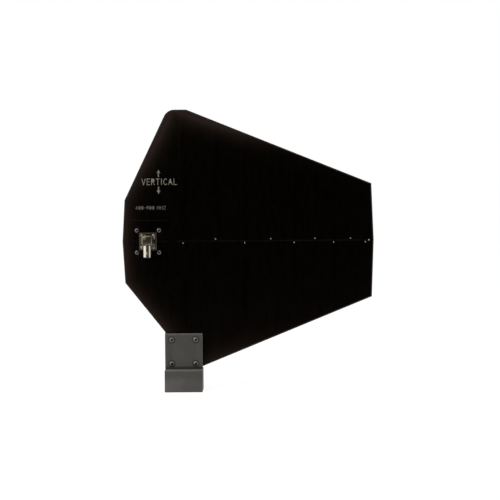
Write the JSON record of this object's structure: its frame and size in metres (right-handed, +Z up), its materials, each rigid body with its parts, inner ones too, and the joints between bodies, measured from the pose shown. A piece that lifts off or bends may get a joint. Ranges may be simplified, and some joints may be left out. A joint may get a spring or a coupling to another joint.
{
  "type": "log periodic antenna",
  "caption": "Flat printed log periodic dipole antenna on a black board, with a right-angle coaxial jack and an aluminium stand bracket.",
  "frame": {"origin": "centre of the stand thread's mouth, in the bottom face of the bracket's block", "axes": "+Z up, +X towards the nose of the board, the front of the board faces -Y"},
  "size_m": [0.2884, 0.0318, 0.3228],
  "materials": {
    "board_laminate": "black satin coating on glass laminate, brown at the cut edge",
    "coated_copper": "black satin coating over copper",
    "solder": "bright tin solder",
    "anodised_bracket": "dark grey satin anodising",
    "black_screws": "black oxide",
    "zinc_hardware": "zinc plate",
    "nickel_body": "satin nickel plate",
    "nickel_barrel": "bright nickel plate",
    "nickel_screws": "nickel plate",
    "white_insulator": "white fluoropolymer",
    "gold_contact": "gold plate",
    "black_cover": "fine texture",
    "bare_copper": "bare copper"
  },
  "bodies": {
    "root": {"antenna_board": "board_laminate", "front_copper": "coated_copper", "rear_copper": "coated_copper", "via_pins": "solder", "tip_solder": "solder", "bracket": "anodised_bracket", "bracket_screws": "black_screws", "bracket_washers": "zinc_hardware", "bracket_nuts": "zinc_hardware", "connector_body": "nickel_body", "connector_barrel": "nickel_barrel", "connector_insulator": "white_insulator", "centre_contact": "gold_contact", "tail_pin": "gold_contact", "tail_insulator": "white_insulator", "flange_screws": "nickel_screws", "flange_nuts": "nickel_screws", "cover_screws": "black_screws", "rear_cover": "black_cover", "feed_line_jacket": "bare_copper", "feed_line_dielectric": "white_insulator", "feed_line_core": "bare_copper", "feed_line_solder": "solder", "tail_solder": "solder"}
  },
  "joints": []
}
